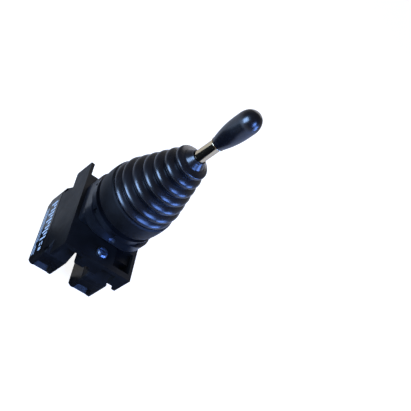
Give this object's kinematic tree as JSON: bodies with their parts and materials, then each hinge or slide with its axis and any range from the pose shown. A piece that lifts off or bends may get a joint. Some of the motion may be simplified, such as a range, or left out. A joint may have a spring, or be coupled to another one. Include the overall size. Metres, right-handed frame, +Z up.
{
  "type": "panel joystick switch",
  "caption": "Panel-mounted lever switch: pear knob on a chrome rod, ribbed rubber boot, round bezel and contact blocks on a bracket worked by a rocker.",
  "frame": {"origin": "centre of the panel hole, in the plane where the gasket seats on the panel", "axes": "+Z up the upright lever to the knob; the lever tilts about Y, towards +X and -X; the contact blocks lie side by side in X and their wire windows face +Y and -Y"},
  "size_m": [0.0436, 0.0605, 0.1646],
  "materials": {
    "black_plastic": "satin moulded polyamide",
    "knob_plastic": "polished phenolic",
    "plunger_plastic": "natural acetal",
    "rubber": "moulded nitrile rubber",
    "chrome": "bright chrome plate",
    "steel": "zinc plated steel",
    "brass": "plain brass"
  },
  "bodies": {
    "housing": {"bezel": "black_plastic", "panel_gasket": "rubber", "ring_nut": "black_plastic", "head_body": "black_plastic", "pivot_pin": "steel", "boot": "rubber", "boot_clamp_ring": "steel", "fixing_bracket": "black_plastic", "head_screws": "steel", "block_clamp": "black_plastic", "clamp_screw": "steel", "contact_housing_left": "black_plastic", "contact_housing_right": "black_plastic", "contact_cover_left": "black_plastic", "contact_cover_right": "black_plastic", "return_spring_left": "steel", "return_spring_right": "steel", "fixed_contacts_left": "brass", "fixed_contacts_right": "brass", "terminal_clamps": "steel", "terminal_screws": "steel"},
    "lever": {"rocker": "plunger_plastic", "pivot_bushes": "brass", "lever_rod": "chrome", "rod_cross_pin": "steel", "knob_insert": "brass", "knob": "knob_plastic"},
    "plunger_set_left": {"plunger_left": "plunger_plastic", "contact_bridge_left": "brass", "spring_plate_left": "steel"},
    "plunger_set_right": {"plunger_right": "plunger_plastic", "contact_bridge_right": "brass", "spring_plate_right": "steel"}
  },
  "joints": [
    {"name": "lever_tilt", "type": "hinge", "parent": "housing", "child": "lever", "pos_m": [0, 0, -0.01], "axis": [0, 1, 0], "range_deg": [-15, 15], "stiffness_Nm_per_rad": 1.6, "deforming": ["boot", "return_spring_left", "return_spring_right"]},
    {"name": "plunger_left_travel", "type": "slide", "parent": "housing", "child": "plunger_set_left", "axis": [0, 0, 1], "range_m": [-0.0037, 0.0037]},
    {"name": "plunger_right_travel", "type": "slide", "parent": "housing", "child": "plunger_set_right", "axis": [0, 0, 1], "range_m": [-0.0037, 0.0037]}
  ],
  "couplings": [
    {"joint": "plunger_left_travel", "follows": "lever_tilt", "m_per_rad": 0.014},
    {"joint": "plunger_right_travel", "follows": "lever_tilt", "m_per_rad": -0.014}
  ]
}
